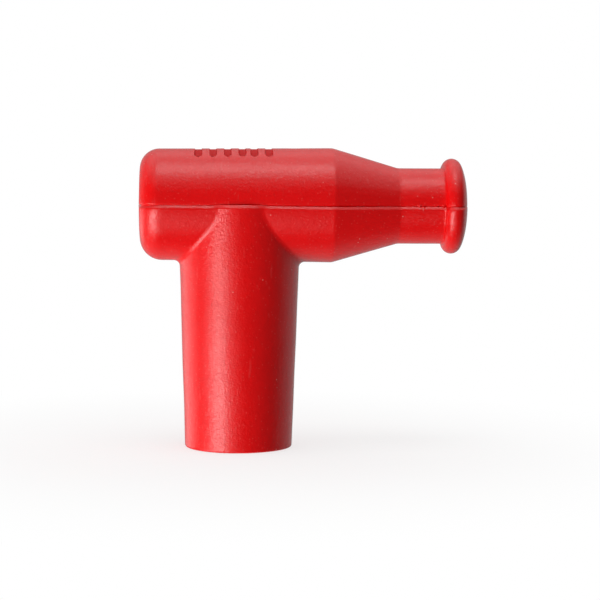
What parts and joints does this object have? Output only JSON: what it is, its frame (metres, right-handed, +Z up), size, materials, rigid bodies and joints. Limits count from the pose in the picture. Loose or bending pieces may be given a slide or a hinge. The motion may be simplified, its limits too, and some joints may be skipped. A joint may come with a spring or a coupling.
{
  "type": "spark plug cap",
  "caption": "Right-angle silicone spark plug cap with a moulded core, suppressor resistor, snap terminal and screw connection for a high-tension lead.",
  "frame": {"origin": "centre of the mouth that slides over the spark plug, on the mouth's flat end face", "axes": "+Z up the spark plug's axis, +X along the barrel towards the lead outlet"},
  "size_m": [0.0586, 0.022, 0.0536],
  "materials": {
    "red_silicone": "satin moulded silicone rubber",
    "phenolic": "dark moulded phenolic",
    "brass": "turned brass",
    "plated_brass": "nickel-plated brass",
    "spring_steel": "drawn stainless wire",
    "zinc_steel": "bright zinc plate",
    "resistance_wire": "drawn resistance wire",
    "ceramic": "fired ceramic",
    "resistor_coating": "baked cement coating",
    "fibre": "vulcanised fibre"
  },
  "bodies": {
    "housing": {"boot": "red_silicone", "core": "phenolic", "end_plug": "brass", "end_seal": "fibre", "cross_contact": "brass", "resistor_rod": "ceramic", "resistor_winding": "resistance_wire", "resistor_sleeve": "resistor_coating", "resistor_cap_back": "plated_brass", "resistor_cap_front": "plated_brass", "spring_seat": "plated_brass", "contact_spring": "spring_steel", "plug_terminal": "brass", "lock_washer": "zinc_steel"},
    "cable_screw": {"cable_screw": "zinc_steel"},
    "clip_leg_left": {"clip_leg_left": "spring_steel"},
    "clip_leg_right": {"clip_leg_right": "spring_steel"}
  },
  "joints": [
    {"name": "cable_screw_float", "type": "slide", "parent": "housing", "child": "cable_screw", "axis": [-1, 0, 0], "range_m": [0, 0.0012], "deforming": ["contact_spring"]},
    {"name": "clip_left_flex", "type": "hinge", "parent": "housing", "child": "clip_leg_left", "pos_m": [-0.0048, 0, 0.0285], "axis": [0, 0, 1], "range_deg": [0, 10]},
    {"name": "clip_right_flex", "type": "hinge", "parent": "housing", "child": "clip_leg_right", "pos_m": [-0.0048, 0, 0.0285], "axis": [0, 0, 1], "range_deg": [-10, 0]}
  ],
  "couplings": [
    {"joint": "clip_right_flex", "follows": "clip_left_flex", "ratio": -1}
  ]
}
